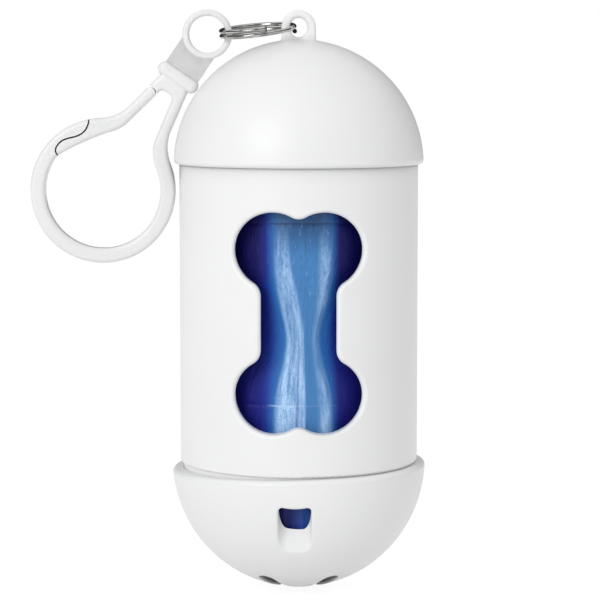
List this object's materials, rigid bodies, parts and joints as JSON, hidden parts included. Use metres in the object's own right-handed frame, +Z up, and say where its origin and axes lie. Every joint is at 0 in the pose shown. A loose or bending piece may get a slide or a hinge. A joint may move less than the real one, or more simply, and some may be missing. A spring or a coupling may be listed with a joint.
{
  "type": "dog poop bag dispenser",
  "caption": "White capsule with a bone-shaped window over a roll of blue bags, a pull-off cap with an eyelet, a split ring and a plastic snap hook.",
  "frame": {"origin": "lowest point of the bowl's outside, on the capsule's axis, in the middle of the star slot", "axes": "+Z up the capsule's axis towards the eyelet, -Y out of the bone-shaped window, -X towards the hanging snap hook"},
  "size_m": [0.063, 0.0406, 0.0921],
  "materials": {
    "capsule_plastic": "semi-gloss moulded white",
    "clip_plastic": "satin moulded white",
    "ring_steel": "nickel-plated wire",
    "bag_film": "thin glossy film",
    "cardboard": "plain grey-brown card"
  },
  "bodies": {
    "dispenser": {"dispenser_tube": "capsule_plastic", "bottom_bowl": "capsule_plastic", "leading_bag": "bag_film"},
    "cap": {"top_cap": "capsule_plastic"},
    "link_ring": {"split_ring": "ring_steel"},
    "hook": {"snap_hook": "clip_plastic"},
    "gate": {"hook_gate": "clip_plastic"},
    "roll": {"bag_roll": "bag_film", "roll_core": "cardboard"}
  },
  "joints": [
    {"name": "cap_lift", "type": "slide", "parent": "dispenser", "child": "cap", "axis": [0, 0, 1], "range_m": [0, 0.03]},
    {"name": "ring_swing", "type": "hinge", "parent": "cap", "child": "link_ring", "pos_m": [0, 0, 0.08955], "axis": [0, 1, 0], "range_deg": [0, 150]},
    {"name": "hook_swing", "type": "hinge", "parent": "link_ring", "child": "hook", "pos_m": [-0.01446, 0, 0.08847], "axis": [0, 1, 0], "range_deg": [0, 110]},
    {"name": "gate_open", "type": "hinge", "parent": "hook", "child": "gate", "pos_m": [-0.02359, 0, 0.07921], "axis": [0, -1, 0], "range_deg": [0, 14], "stiffness_Nm_per_rad": 0.2},
    {"name": "roll_spin", "type": "hinge", "parent": "dispenser", "child": "roll", "pos_m": [0, 0, 0.03957], "axis": [0, 0, 1], "continuous": true}
  ]
}
